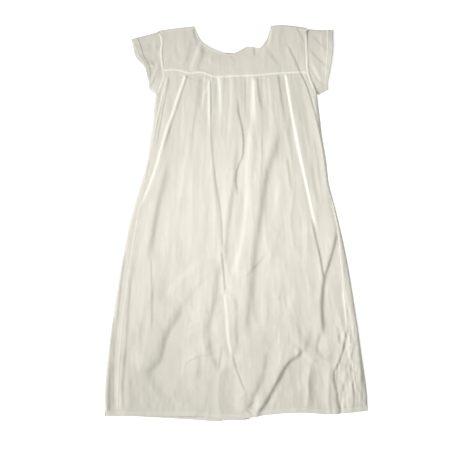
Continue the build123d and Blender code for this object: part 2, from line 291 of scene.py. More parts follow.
# Folds of the front. Each is a line from its top end to its lower end, and then: rise of the
# cloth across it towards the wearer's left, width of that rise, how far the lift carries on
# to the wearer's right and to the left, and the length over which each end fades.
FOLDS = [
    # pleats pressed at the yoke, one towards each side
    ([(-138, 404), (-168, 315), (-195, 236), (-215, 163), (-240, 91), (-268, 30)], 2.6, 1.6, 10, 30, 8, 70),
    ([(-131, 404), (-160, 315), (-186, 236), (-207, 163)], -1.4, 2.4, 8, 22, 8, 90),
    ([(134, 406), (155, 279), (177, 170), (196, 85), (212, 10), (222, -30)], 2.6, 1.6, 10, 30, 8, 60),
    ([(114, 406), (134, 278), (151, 170)], -1.2, 3.0, 14, 9, 8, 80),
    ([(207, 15), (218, -40), (229, -90), (239, -154)], -1.9, 2.4, 9, 12, 30, 12),
    # unpressed pleats in the middle
    ([(-70, 400), (-69, 373), (-65, 200), (-53, 100), (-41, 22), (-36, -70)], -1.0, 1.7, 9, 14, 20, 20),
    ([(-75, 400), (-74, 340), (-71, 230)], 0.9, 1.6, 7, 7, 20, 60),
    ([(-66, 170), (-58, 100), (-48, 30), (-38, -80)], -1.2, 5.0, 16, 22, 60, 22),
    ([(-50, 402), (-47, 385), (-42, 334), (-44, 270)], 1.3, 4.0, 9, 10, 8, 50),
    ([(48, 402), (48, 389), (45, 303), (36, 230), (30, 162), (29, 69), (13, -56), (-2, -118),
        (-10, -150)], 2.9, 8.0, 17, 34, 20, 30),
    ([(58, 400), (62, 350), (72, 300)], -1.3, 3.2, 9, 12, 8, 40),
    ([(-64, 398), (-88, 345), (-95, 300)], 0.8, 2.5, 7, 9, 8, 40),
    ([(-96, 400), (-104, 340), (-116, 250), (-122, 170)], -1.3, 6.0, 16, 22, 12, 70),
    ([(5, 340), (6, 310), (17, 256), (20, 193), (0, 131), (4, 69)], -1.6, 2.6, 10, 14, 30, 30),
    ([(24, 402), (26, 330), (22, 270)], -0.8, 3.0, 9, 9, 12, 60),
    ([(-12, 400), (-14, 330), (-20, 240), (-22, 180)], 0.8, 5.0, 14, 14, 12, 80),
    ([(86, 400), (92, 340), (94, 280), (98, 210)], 1.2, 5.0, 14, 16, 12, 60),
    # seam side of the right half
    ([(-188, 400), (-205, 330), (-220, 257), (-238, 150)], 1.4, 1.8, 8, 9, 15, 70),
    ([(-181, 400), (-192, 340), (-207, 262), (-220, 190)], -1.0, 1.8, 7, 7, 15, 60),
    ([(-200, 330), (-216, 262), (-236, 170), (-250, 110)], -0.9, 2.0, 7, 7, 30, 40),
    # long valleys down the skirt
    ([(-180, 190), (-192, 130), (-209, 60), (-217, 22), (-225, -25), (-236, -79), (-238, -118)],
        -3.4, 8.0, 22, 80, 80, 50),
    ([(-232, -90), (-230, -140), (-228, -204), (-229, -300)], -1.1, 2.2, 9, 16, 20, 40),
    ([(-80, -87), (-150, -150), (-206, -212)], 1.8, 9.0, 30, 30, 40, 50),
    ([(-64, -130), (-120, -190), (-150, -235)], -1.2, 8.0, 24, 24, 30, 40),
    ([(3, 225), (-2, 134), (-13, 47), (-24, -46), (-28, -115)], -2.3, 7.0, 20, 16, 70, 25),
    ([(124, 262), (106, 200), (84, 131), (68, 22), (53, -72), (41, -173), (29, -290), (24, -330)],
        -5.2, 12.0, 34, 48, 60, 70),
    ([(-108, 330), (-112, 230), (-116, 130)], 1.1, 6.0, 20, 20, 70, 80),
    ([(-128, 240), (-150, 90), (-165, -60)], 1.6, 10.0, 30, 30, 80, 100),
    ([(70, 250), (72, 190), (68, 110)], -1.0, 3.5, 12, 12, 40, 40),
    ([(205, 190), (214, 100), (236, 20)], -1.4, 6.0, 16, 16, 60, 60),
    ([(138, 190), (146, 130), (152, 80)], -1.3, 4.0, 14, 16, 30, 40),
    ([(122, 130), (108, 60), (100, -20)], 1.6, 9.0, 24, 24, 50, 60),
    ([(190, 60), (186, -40), (190, -140)], 1.6, 9.0, 28, 28, 60, 80),
    ([(275, -20), (268, -60), (259, -95), (240, -157), (234, -235), (240, -314)], -3.8, 5.0, 18, 32, 30, 40),
    # centre ridge and the folds that run into it
    ([(-41, -70), (-34, -130), (-29, -190)], -1.8, 2.2, 9, 10, 20, 12),
    ([(-31, -195), (-27, -230), (-23, -290), (-17, -340), (-12, -365)], 2.4, 2.2, 10, 20, 14, 20),
    ([(-13, -350), (4, -405), (26, -462)], -1.5, 2.0, 8, 10, 25, 20),
    ([(-41, -95), (-50, -150), (-57, -212), (-76, -290), (-80, -330)], -4.2, 11.0, 44, 20, 40, 50),
    ([(-76, -300), (-70, -340), (-50, -400)], -3.2, 9.0, 40, 24, 40, 20),
    ([(-38, -330), (-42, -370), (-48, -405)], -1.2, 3.0, 12, 10, 20, 16),
    ([(-5, -190), (2, -240), (0, -300), (6, -340)], -1.8, 6.0, 16, 16, 30, 30),
    # lower right half
    ([(-140, -215), (-151, -235), (-190, -313), (-217, -384), (-256, -413)], -6.4, 15.0, 50, 80, 40, 40),
    ([(-120, -250), (-138, -300), (-160, -350)], 1.6, 8.0, 24, 24, 30, 30),
    ([(-108, -330), (-100, -385), (-106, -440)], -1.8, 9.0, 26, 26, 40, 40),
    ([(-205, -440), (-180, -470), (-150, -505)], 1.2, 9.0, 24, 24, 20, 10),
    ([(-262, -300), (-270, -360), (-262, -420)], 1.6, 6.0, 20, 20, 30, 30),
    # lower left half
    ([(86, -340), (83, -360), (72, -420), (45, -480), (28, -516)], -3.6, 9.0, 34, 24, 30, 8),
    ([(185, -345), (168, -362), (146, -378), (116, -426), (88, -478), (56, -526)], -5.0, 5.6, 26, 34, 16, 6),
    ([(160, -272), (176, -300), (190, -325), (232, -353)], -1.3, 9.0, 30, 26, 20, 20),
    ([(215, -370), (170, -440), (130, -500)], 2.4, 16.0, 40, 45, 40, 30),
    ([(120, -300), (135, -250), (150, -200), (158, -150)][::-1], 1.6, 11.0, 30, 30, 60, 60),
    ([(128, 10), (112, -60), (100, -130)], -1.6, 9.0, 26, 26, 50, 50),
    ([(206, -270), (196, -330), (186, -350)], -1.8, 7.0, 22, 22, 40, 14),
    ([(302, -285), (284, -370), (268, -405), (276, -470), (286, -520)], -2.4, 3.6, 14, 14, 20, 10),
    ([(232, -292), (222, -345), (238, -372)], -1.8, 4.5, 14, 14, 25, 15),
    # side seams rolled to the front, and the edge of the gown beside them
    ([(-262, 60), (-276, -32), (-294, -155), (-308, -263), (-318, -371), (-324, -510)],
        0.6, 2.4, 9, 9, 40, 15),
    ([(-300, -60), (-312, -160), (-322, -260), (-332, -360), (-334, -500)], -1.4, 2.4, 8, 8, 40, 12),
    ([(-282, -120), (-290, -200), (-296, -300), (-306, -420), (-308, -510)], -1.4, 3.0, 12, 10, 40, 12),
    ([(255, 90), (273, 11), (287, -126), (300, -260), (306, -300)], 2.0, 2.4, 10, 10, 40, 40),
    ([(296, -30), (316, -150), (330, -250), (338, -360), (346, -470)], -2.6, 4.0, 12, 12, 50, 40),
    ([(306, -210), (312, -280), (304, -340), (318, -400)], 1.6, 2.6, 10, 10, 30, 20),
    ([(318, -330), (312, -400), (322, -470), (318, -520)], -1.7, 3.0, 10, 10, 30, 15),
    ([(-330, -230), (-340, -360), (-345, -520)], -3.2, 6.0, 16, 16, 50, 15),
    # creases of the yoke
    ([(-97, 496), (-104, 475), (-112, 451), (-127, 414)], 1.7, 4.0, 10, 16, 8, 8),
    ([(-86, 482), (-96, 445), (-108, 415)], -1.5, 5.0, 14, 22, 15, 12),
    ([(-118, 504), (-128, 462), (-140, 425)], -0.9, 5.0, 14, 12, 15, 15),
    ([(138, 490), (161, 443), (174, 412), (189, 381), (216, 295), (240, 193), (263, 100)],
        -1.2, 1.7, 8, 8, 15, 40),
    ([(165, 536), (178, 508), (190, 486)], -1.0, 2.4, 9, 8, 8, 25),
    ([(47, 484), (50, 466), (52, 448)], -1.4, 2.2, 8, 8, 4, 18),
    ([(80, 478), (100, 452), (118, 425)], -1.0, 4.0, 12, 12, 15, 20),
    ([(-60, 474), (-72, 450), (-66, 425)], 0.8, 4.0, 12, 12, 15, 20),
    ([(-20, 460), (-6, 440), (-10, 415)], -0.8, 4.0, 12, 12, 10, 15),
    ([(-150, 530), (-156, 490), (-150, 450)], 0.7, 6.0, 14, 14, 20, 20),
    ([(150, 500), (140, 460), (146, 420)], 0.8, 6.0, 16, 16, 20, 15),
]
# Pleats drawn whiter: cloth folded double under the two pressed ones, and a painted highlight along those and
# along three unpressed folds in the middle
PLEATS_DOUBLED_AND_HIGHLIGHTED = [fold for fold in FOLDS if fold[1] == 2.6 or fold[0][0][0] in (-75, -50)]
PLEATS_DOUBLED_AND_HIGHLIGHTED.append(([(48, 402), (48, 389), (45, 303), (40, 260)], 2.9, 8.0, 17, 34, 20, 120))
# Short cross creases near the hem and the waist
CREASES = [
    ([(-140, -384), (-117, -370), (-66, -357), (-50, -352)], 1.5, 2.6, 8, 8, 20, 20),
    ([(-84, -404), (-60, -405), (-44, -412)], 1.3, 2.6, 8, 8, 15, 15),
    ([(-128, -366), (-104, -354), (-80, -350)], -0.9, 2.2, 7, 7, 15, 15),
    ([(-45, -190), (-25, -197), (-12, -206)], 1.4, 3.2, 9, 9, 10, 10),
    ([(20, -150), (44, -128), (70, -100), (86, -78)], 1.2, 3.6, 12, 12, 20, 25),
    ([(10, -478), (28, -470), (44, -476)], 1.2, 2.8, 8, 8, 8, 8),
    ([(36, -498), (52, -488), (70, -492)], 1.4, 2.8, 8, 8, 8, 8),
    ([(-330, 20), (-290, 0), (-262, 14)], 0.8, 4.0, 10, 10, 15, 15),
    ([(-160, -290), (-125, -262), (-100, -262)], 1.2, 2.6, 9, 9, 15, 15),
    ([(-150, -305), (-118, -284), (-96, -282)], 1.0, 2.4, 8, 8, 15, 15),
    ([(196, -385), (228, -372), (256, -384)], 1.3, 4.0, 12, 12, 15, 15),
    ([(60, -208), (96, -212), (130, -196)], 0.7, 3.6, 12, 12, 20, 20),
]
# Fine gathers where the fullness of the skirt is let out of the yoke seam
random_gathers = np.random.default_rng(8)
GATHERS = []
for start_x in np.linspace(-84, 84, 11):
    start_x += random_gathers.uniform(-4, 4)
    length = random_gathers.uniform(60, 190)
    drift = start_x * 0.12 + random_gathers.uniform(-5, 5)
    line = [(start_x, 404), (start_x + drift * 0.4, 404 - length * 0.45), (start_x + drift, 404 - length)]
    rise = random_gathers.choice([-1, 1]) * random_gathers.uniform(0.25, 0.6)
    GATHERS.append((line, rise, 2.0, 7, 7, 6, length * 0.7))


def smooth_line(points, steps=7):
    """More points on a smooth line through the given ones."""
    points = np.array(points, float)
    distances = np.concatenate([[0.0], np.cumsum(np.linalg.norm(np.diff(points, axis=0), axis=1))])
    fine = np.linspace(0, distances[-1], steps * (len(points) - 1) + 1)
    return np.stack([through(*zip(distances, points[:, k]))(fine) for k in (0, 1)], axis=1)


def fold_height(x, y, fold):
    """Height that one fold adds at each place."""
    points, rise, width, reach_right, reach_left, fade_top, fade_low = fold
    line = smooth_line(points)
    margin = 3.2 * max(reach_right, reach_left)
    height = np.zeros(x.shape)
    near = (
        (x > line[:, 0].min() - margin) & (x < line[:, 0].max() + margin)
        & (y > line[:, 1].min() - margin) & (y < line[:, 1].max() + margin)
    )
    if not near.any():
        return height
    px, py = x[near], y[near]
    best, offset, along = np.full(px.shape, 1e9), np.zeros(px.shape), np.zeros(px.shape)
    run = 0.0
    for start, end in zip(line[:-1], line[1:]):
        dx, dy = end - start
        length = math.hypot(dx, dy)
        t = ((px - start[0]) * dx + (py - start[1]) * dy) / length
        clipped = np.clip(t, 0, length)
        gap = np.hypot(px - start[0] - clipped * dx / length, py - start[1] - clipped * dy / length)
        side = dx * (py - start[1]) - dy * (px - start[0])
        closer = gap < best
        best = np.where(closer, gap, best)
        offset = np.where(closer, np.sign(side) * gap, offset)
        along = np.where(closer, run + clipped, along)
        run += length
    fade = smooth(along / fade_top) * smooth((run - along) / fade_low)
    reach = np.where(offset > 0, reach_left, reach_right)
    height[near] = rise * fade * np.tanh(offset / width) * np.exp(-((np.abs(offset) / reach) ** 1.3))
    return height


def quarter_round(distance, roll):
    """Share of the full height at a distance in from a rolled edge."""
    inward = 1 - np.clip(distance / roll, 0, 1)
    return np.sqrt(np.maximum(1 - inward**2, 0))


def front_rise(x, y):
    """Share of the hollow that the front stands up at each place, from 0 at a rolled edge."""
    side_distance = np.minimum(x - right_edge(y), left_edge(y) - x)
    below_arm = smooth((UNDERARM_HEIGHT + 6 - y) / 30)
    side = 1 - below_arm * (1 - quarter_round(side_distance, SIDE_ROLL))
    beyond_neck = smooth(np.maximum(NECK_SIDES[0] - x, x - NECK_SIDES[1]) / 6 + 0.5)
    shoulder = 1 - beyond_neck * (1 - quarter_round(top_edge(x) - y, SHOULDER_ROLL))
    hem = 0.55 + 0.45 * smooth((y - front_hem_edge(x)) / 70)
    neck = 1 - 0.35 * (1 - beyond_neck) * (1 - smooth((top_edge(x) - y) / 40))
    return side * shoulder * hem * neck


def creased_noise(x, y, width, length, seed):
    """Like soft_noise, but with sharp creases between smooth lumps."""
    bent_x = x + 0.5 * width * soft_noise(x, y, width * 1.7, length * 1.3, seed + 50)
    return 1 - 2.2 * np.abs(soft_noise(bent_x, y, width, length, seed))


def fanned(x, y):
    """Place across the skirt at its top, because its wrinkles spread out downwards."""
    return x * SKIRT_TOP / (SKIRT_TOP + SKIRT_SPREAD * np.maximum(SKIRT_TOP - y, 0))


def front_height(x, y):
    """Height of the outside of the front at each place."""
    x, y = np.broadcast_arrays(np.asarray(x, float), np.asarray(y, float))
    rise = front_rise(x, y)
    folds = sum(fold_height(x, y, fold) for fold in FOLDS + CREASES + GATHERS)
    fan = fanned(x, y)
    skirt = smooth((415 - y) / 60)
    low = smooth((-60 - y) / 320)
    lumps = (1.9 + 1.2 * low) * soft_noise(fan, y, 78, 300, 10) + 1.0 * soft_noise(fan, y, 36, 190, 1)
    lumps = lumps + 0.5 * soft_noise(fan, y, 14, 100, 2)
    creases = 0.55 * creased_noise(fan, y, 24, 130, 7) * (1 - 0.5 * low)
    creases = creases + 1.2 * low * creased_noise(x, y, 50, 110, 8)
    creases = creases + 0.35 * low * creased_noise(x, y, 24, 60, 15) + 0.2 * creased_noise(fan, y, 11, 70, 18)
    crumples = (0.25 + 0.3 * low) * soft_noise(x, y, 26, 40, 3)
    crumples = crumples + (0.12 + 0.1 * low) * soft_noise(x, y, 9, 16, 4)
    low_left = smooth((x - 235) / 50) * smooth((-220 - y) / 80)
    corner = 0.7 * soft_noise(x, y, 10, 30, 5) + 0.8 * creased_noise(x, y, 16, 50, 9)
    crumples = crumples + low_left * corner
    crumples = crumples + low_left * 0.7 * creased_noise(x, y, 9, 26, 17)
    streaks = 0.09 * soft_noise(fan, y, 5, 60, 6)
    loose = np.clip(rise * 1.6, 0, 1)
    softness = lumps * (0.3 + 0.7 * skirt) + creases * (0.4 + 0.6 * skirt) + crumples
    height = EDGE_HEIGHT + (HOLLOW - EDGE_HEIGHT) * rise + loose * (folds + softness + streaks)
    # valleys stop just short of the back
    least = EDGE_HEIGHT + (BACK_TOP - EDGE_HEIGHT) * rise
    return least + 0.6 * np.logaddexp(0, (height - least) / 0.6) - 0.6 * math.log(2) * (1 - loose)


# ------------------------------------------------------------
# Front skirt: one A-line piece of cotton, pleated into the yoke and cut a little fuller than
# it lies.

GRID = 2.4
SKIRT_NOMINAL = (-524.0, 408.0)     # heights of the hem and the yoke seam, before they curve
EDGE_COLUMNS = [0.0, 0.0004, 0.0012, 0.0025, 0.0045, 0.0075, 0.011, 0.015]


def across_columns(width, spacing=GRID):
    """Shares of the width for the columns of a grid, closer together at both edges."""
    middle = np.linspace(0.019, 0.981, max(4, int(width / spacing)))
    return np.concatenate([EDGE_COLUMNS, middle, 1 - np.array(EDGE_COLUMNS[::-1])])


def grid_faces(rows, columns, closed=False):
    """Faces of a grid whose points run along each row; a closed one joins its last column to its first."""
    last_column = columns if closed else columns - 1
    row, column = np.meshgrid(np.arange(rows - 1), np.arange(last_column), indexing="ij")
    here, beside = row * columns + column, row * columns + (column + 1) % columns
    return np.stack([here, beside, beside + columns, here + columns], axis=-1).reshape(-1, 4)


def mesh_piece(name, points, faces, material, layers_and_highlight=0.0):
    """A smooth mesh piece from points in millimetres; its last argument is 1 where the cloth is sewn double,
    and it also carries a painted highlight along the pleats.
    """
    mesh = bpy.data.meshes.new(name)
    points = np.asarray(points, float).reshape(-1, 3) / 1000
    mesh.from_pydata(points.tolist(), [], [list(map(int, face)) for face in faces])
    mesh.update()
    mesh.shade_smooth()
    mesh.materials.append(material)
    whitening = mesh.attributes.new("layers_and_highlight", "FLOAT", "POINT")
    values = np.broadcast_to(np.asarray(layers_and_highlight, np.float32).ravel(), len(points)).astype(np.float32)
    whitening.data.foreach_set("value", values)
    piece = bpy.data.objects.new(f"{name}_cloth" if name in bpy.data.objects else name, mesh)
    bpy.context.scene.collection.objects.link(piece)
    return piece


def thicken(piece, thickness=CLOTH, offset=-1.0):
    """Give a sheet its thickness, below its outside by default."""
    modifier = piece.modifiers.new("thickness", "SOLIDIFY")
    modifier.thickness = thickness / 1000
    modifier.offset = offset


def grid_piece(name, x, y, z, material, layers_and_highlight=0.0, thickness=CLOTH):
    """A sheet of cloth over rows and columns of points."""
    rows, columns = x.shape
    piece = mesh_piece(name, np.stack([x, y, z], axis=-1), grid_faces(rows, columns), material, layers_and_highlight)
    thicken(piece, thickness)
    return piece


def bend_with_skirt(piece):
    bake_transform(piece)


def skirt_grid(hem_edge, from_x, to_x, spacing=GRID):
    """Places of a skirt panel between two edges, from its hem up to the yoke seam."""
    share_up = np.linspace(0, 1, int((SKIRT_NOMINAL[1] - SKIRT_NOMINAL[0]) / spacing))[:, None]
    level = SKIRT_NOMINAL[0] + (SKIRT_NOMINAL[1] - SKIRT_NOMINAL[0]) * share_up
    share = across_columns(to_x(-300.0) - from_x(-300.0), spacing)[None, :]
    x = from_x(level) * (1 - share) + to_x(level) * share
    hem_shift = (hem_edge(x) - SKIRT_NOMINAL[0]) * (1 - share_up) ** 8
    yoke_shift = (yoke_line(x) - SKIRT_NOMINAL[1]) * share_up**8
    return x, level + hem_shift + yoke_shift


def doubled_and_highlight_at(x, y, folds, width):
    """How much whiter the cloth is drawn along pleats: cloth folded double under the pressed ones, and a
    painted highlight along them and along the unpressed ones.
    """
    share = sum(
        np.abs(fold_height(x, y, (points, 1.0, 0.5, width, width, top, low)))
        for points, rise, fold_width, right, left, top, low in folds
    )
    return np.clip(share, 0, 1)


x, y = skirt_grid(front_hem_edge, right_edge, left_edge)
# The front skirt is drawn whiter along its pleats: doubled cloth under the pressed ones, and a painted
# highlight
front_skirt = grid_piece(
    "front_skirt", x, y, front_height(x, y), cotton_cloth,
    layers_and_highlight=0.38 * doubled_and_highlight_at(x, y, PLEATS_DOUBLED_AND_HIGHLIGHTED, 6.0),
)
bend_with_skirt(front_skirt)
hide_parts("front_skirt_upper", "front_skirt_lower")


# ------------------------------------------------------------
# Front yoke: a plain flat piece from the shoulders down to the yoke seam, scooped at the neck.


def yoke_grid(from_x, to_x, breaks=()):
    """Places of a yoke panel, from the yoke seam up to the shoulders and the neckline."""
    middle = np.linspace(0, 1, int(400 / GRID))
    corners = [(x - from_x(530.0)) / (to_x(530.0) - from_x(530.0)) for x in breaks]
    beside_corners = [np.array(corners) - 0.004, np.array(corners) + 0.004]
    share = np.sort(np.concatenate([middle, corners, *beside_corners]))[None, :]
    share_up = np.sin(np.linspace(0, math.pi / 2, int(150 / GRID)))[:, None]
    level = 408 + 120 * share_up
    x = from_x(level) * (1 - share) + to_x(level) * share
    y = yoke_line(x) * (1 - share_up) + top_edge(x) * share_up
    return x, y


x, y = yoke_grid(right_edge, left_edge, NECK_SIDES)
front_yoke = grid_piece("front_yoke", x, y, front_height(x, y), cotton_cloth)
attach(front_yoke, "gown_body")
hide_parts("front_yoke")


# ------------------------------------------------------------
# Back: two yokes and two skirts that meet in an overlap down the middle. They lie on the
# surface below, so they are flatter than the front, with broad wrinkles of their own.

BACK_HEIGHT = 1.2
BACK_INSET = 0.6            # the front's side edges stand out past the back's
PLACKET_HALF = 35.0         # centre line to where a placket is sewn to its panel
BACK_GRID = 4.0
RIGHT_LIFT = 1.0            # the right edge of the opening lies on the left one


def back_height(x, y):
    """Height of the inside of the back at each place."""
    side_distance = np.minimum(x - right_edge(y), left_edge(y) - x)
    free = smooth((side_distance - 6) / 40)
    fan = fanned(x, y)
    lumps = soft_noise(fan, y, 30, 190, 11) * 0.9 + soft_noise(x, y, 44, 60, 12) * 0.5
    lumps = lumps + soft_noise(x, y, 14, 40, 13) * 0.25
    lumps = lumps + 0.5 * creased_noise(fan, y, 30, 170, 16) * (y < 404)
    return BACK_HEIGHT + free * np.clip(0.6 + lumps, 0, 2.4)


def right_back_height(x, y):
    """The same, where the right back rises on to the left placket."""
    return back_height(x, y) + RIGHT_LIFT * smooth((x + PLACKET_HALF + 40) / 40)


def placket_edge(sign):
    """The straight edge at which a back panel is sewn to its placket."""
    return lambda y: sign * PLACKET_HALF + 0 * np.asarray(y, float)


BACK_SIDES = {
    "left": (placket_edge(1), lambda y: left_edge(y) - BACK_INSET, back_height),
    "right": (lambda y: right_edge(y) + BACK_INSET, placket_edge(-1), right_back_height),
}


def back_yoke_grid(from_x, to_x):
    share = np.linspace(0, 1, int(170 / BACK_GRID))[None, :]
    share_up = np.linspace(0, 1, int(150 / BACK_GRID))[:, None]
    level = 408 + 120 * share_up
    x = from_x(level) * (1 - share) + to_x(level) * share
    y = yoke_line(x) * (1 - share_up) + (top_edge(x) - 1.5) * share_up
    return x, y


for side, (from_x, to_x, surface) in BACK_SIDES.items():
    x, y = skirt_grid(back_hem_edge, from_x, to_x, BACK_GRID)
    skirt = grid_piece(f"back_skirt_{side}", x, y, surface(x, y), cotton_cloth)
    bend_with_skirt(skirt)
    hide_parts(f"back_skirt_upper_{side}", f"back_skirt_lower_{side}")
    x, y = back_yoke_grid(from_x, to_x)
    yoke = grid_piece(f"back_yoke_{side}", x, y, surface(x, y), cotton_cloth)
    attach(yoke, "gown_body")
    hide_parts(f"back_yoke_{side}")


# ------------------------------------------------------------
# Yoke seams: flat-felled, so the cloth is four layers thick and looks whiter, with two rows of
# lockstitch in white cotton thread.

SEAM_STEP = 4.0
FELLED = [(-1, -0.5), (-0.96, 0.45), (-0.8, 0.72), (-0.62, 0.55), (-0.3, 0.85), (0.3, 0.85), (0.62, 0.55),
    (0.8, 0.72), (0.96, 0.45), (1, -0.5)]
YOKE_SEAM_WIDTH = 6.0
YOKE_ROWS = (-2.6, 2.6)     # rows of stitches, from the middle of the seam
SEAM_HEIGHT = 0.75
STITCH_PITCH = 3.2
STITCH_LENGTH = 2.3
THREAD_WIDTH = 0.5
THREAD = "#FBFAF6"
# Painted shade: the thread is drawn darker in the grooves between its strands
THREAD_PAINTED_SHADE = "#E9E7DF"    # between the strands of the thread

thread_white, thread_tree, thread_shader = new_material("white_cotton_thread", 0.6, 0.2, 0.4)
twist = add_node(thread_tree, "ShaderNodeTexWave", {
    "bands_direction": "DIAGONAL", "Scale": 0.31, "Distortion": 1.0,
}, {"Vector": scaled_place(thread_tree, 0.8, 0.8, 0.8)})
mix_colours(thread_tree, thread_shader, twist.outputs["Fac"], THREAD_PAINTED_SHADE, THREAD)
add_bump(thread_tree, thread_shader, twist.outputs["Fac"], 0.4, 0.0002)


def even_steps(line, step):
    """The same line with its points a step apart."""
    line = np.asarray(line, float)
    distances = np.concatenate([[0.0], np.cumsum(np.linalg.norm(np.diff(line, axis=0), axis=1))])
    places = np.linspace(0, distances[-1], max(2, int(round(distances[-1] / step)) + 1))
    return np.stack([np.interp(places, distances, line[:, k]) for k in range(line.shape[1])], axis=1)


def left_of_line(line):
    """Unit directions to the left of a flat line at each point."""
    ahead = np.gradient(line[:, :2], axis=0)
    ahead /= np.linalg.norm(ahead, axis=1)[:, None]
    return np.stack([-ahead[:, 1], ahead[:, 0]], axis=1)


def strip(
    name, line, width, height, section, surface,
    layers_and_highlight=0.3, material=cotton_cloth, under=False,
):
    """A seam, hem or binding along a line on a surface; under puts it on the far side."""
    line = even_steps(line, SEAM_STEP)
    across = left_of_line(line)
    section = np.array(section, float)
    place = line[:, None, :2] + across[:, None, :] * section[None, :, :1] * width / 2
    up = section[None, :, 1] * height
    z = surface(place[..., 0], place[..., 1]) + (-up - CLOTH if under else up)
    points = np.concatenate([place, z[..., None]], axis=-1)
    rows, columns = points.shape[:2]
    faces = grid_faces(rows, columns, closed=True).tolist()
    faces.append(list(range(columns)))
    faces.append(list(range((rows - 1) * columns, rows * columns))[::-1])
    return mesh_piece(name, points, faces, material, layers_and_highlight)


def stitching(name, lines, surface, height, under=False):
    """Rows of stitches, each a short length of thread that is pulled in at both ends."""
    points, faces = [], []
    for line in lines:
        line = even_steps(line, STITCH_PITCH)
        ahead = np.gradient(line, axis=0)
        ahead /= np.linalg.norm(ahead, axis=1)[:, None]
        side = np.stack([-ahead[:, 1], ahead[:, 0]], axis=1) * THREAD_WIDTH / 2
        ends = ahead * STITCH_LENGTH / 2
        lift = surface(line[:, 0], line[:, 1]) + (-height - CLOTH if under else height)
        rise = THREAD_WIDTH / 2 * (-1 if under else 1)
        for place, along, sideways, z in zip(line, ends, side, lift):
            first = len(points)
            points += [
                (*(place - along), z - rise), (*(place + sideways), z), (*place, z + rise),
                (*(place - sideways), z), (*(place + along), z - rise), (*place, z - rise),
            ]
            faces += [[first + i for i in face] for face in (
                (0, 2, 1), (0, 3, 2), (4, 1, 2), (4, 2, 3), (0, 1, 5), (4, 5, 1), (0, 5, 3), (4, 3, 5),
            )]
    return mesh_piece(name, points, faces, thread_white)


def beside(line, distance):
    """A line that runs beside another, to its left."""
    line = even_steps(line, SEAM_STEP)
    return line + left_of_line(line) * distance


def sew_on(piece, name, line, offsets, surface, height, fasten, nodes=None, under=False):
    """Fasten a strip to a body or bake it in place, hide the CAD nodes that it stands in for, and add its
    stitches.
    """
    fasten(piece)
    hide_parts(*(nodes or [name]))
    rows = [beside(line, offset) for offset in offsets]
    fasten(stitching(f"{name}_stitching", rows, surface, height, under))


def ride_gown(piece):
    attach(piece, "gown_body")


def ride_skirt(piece):
    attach(piece, "lower_skirt")


def level_line(edge, from_x, to_x, raised=0.0, count=60):
    """Points from left to right along an edge that is a function of x."""
    x = np.linspace(from_x, to_x, count)
    return np.stack([x, edge(x) + raised], axis=1)


yoke_seam_line = level_line(yoke_line, -198, 197)
front_yoke_seam = strip(
    "front_yoke_seam", yoke_seam_line, YOKE_SEAM_WIDTH, SEAM_HEIGHT, FELLED, front_height, 0.5,
)
sew_on(front_yoke_seam, "front_yoke_seam", yoke_seam_line, YOKE_ROWS, front_height, 0.62, ride_gown)
for side, (from_x, to_x, surface) in BACK_SIDES.items():
    line = level_line(yoke_line, float(from_x(408)) + 1, float(to_x(408)) - 1)
    seam = strip(f"back_yoke_seam_{side}", line, YOKE_SEAM_WIDTH, 0.5, FELLED, surface, under=True)
    sew_on(seam, f"back_yoke_seam_{side}", line, YOKE_ROWS, surface, 0.45, ride_gown, under=True)


# ------------------------------------------------------------
# Back opening: each edge has a placket, a doubled strip of the same cotton stitched down both
# sides. The right one lies on the left one, and a hook patch and a loop patch between them
# hold the neck closed.

PLACKET_SECTION = [
    (-1, -0.3), (-1, 0.3), (-0.985, 0.5), (-0.95, 0.55), (-0.9, 0.45), (-0.5, 0.6), (0, 0.5), (0.5, 0.6),
        (0.9, 0.45),
    (0.95, 0.55), (0.985, 0.5), (1, 0.3), (1, -0.3), (0.985, -0.5), (0.95, -0.6), (0.9, -0.45),
        (0.5, -0.6), (0, -0.5),
    (-0.5, -0.6), (-0.9, -0.45), (-0.95, -0.6), (-0.985, -0.5),
]
PLACKET_OVERLAP = 30.0
PLACKET_STITCH = 3.0


def opening_surface(lift):
    """Height along the opening, level from side to side and some way above the back."""
    return lambda x, y: BACK_HEIGHT + lift + 0.35 * (back_height(0 * x, y) - BACK_HEIGHT)


for side, sign, lift in (("left", 1, 0.0), ("right", -1, RIGHT_LIFT)):
    middle = sign * (PLACKET_HALF + 2 - PLACKET_OVERLAP) / 2
    width = PLACKET_HALF + 2 + PLACKET_OVERLAP
    low, high = float(back_hem_edge(middle)) + 1, float(neck_edge(middle)) - 2
    line = np.array([(middle, low), (middle, high)])
    name, surface = f"back_placket_{side}", opening_surface(lift)
    placket = strip(name, line, width, 0.5, PLACKET_SECTION, surface)
    offsets = (-width / 2 + PLACKET_STITCH, width / 2 - PLACKET_STITCH)
    halves = (f"{name}_upper", f"{name}_lower")
    sew_on(placket, name, line, offsets, surface, 0.32, bend_with_skirt, halves, under=True)


# ------------------------------------------------------------
# Hems of the skirt: 14 mm turned up inside twice and stitched down along the upper edge.

HEM_DEPTH = 14.0
STITCH_BELOW_EDGE = 2.2     # stitches below the upper edge of the turned hem
HEM_SECTION = [
    (-1, -0.7), (-1.0, -0.2), (-0.94, 0.35), (-0.6, 0.55), (0.5, 0.55), (0.72, 0.3), (0.84, 0.35),
        (0.95, 0.5), (1, -0.1),
    (0.97, -0.8), (0.85, -0.95), (0.6, -0.85), (0, -1.0), (-0.8, -1.0), (-0.95, -0.9),
]


def hem(name, edge, from_x, to_x, surface):
    """A turned hem along an edge, with its row of stitches."""
    line = level_line(edge, from_x, to_x, HEM_DEPTH / 2, 120)
    band = strip(name, line, HEM_DEPTH, 0.6, HEM_SECTION, surface, 0.12)
    sew_on(band, name, line, (HEM_DEPTH / 2 - STITCH_BELOW_EDGE,), surface, 0.45, ride_skirt)


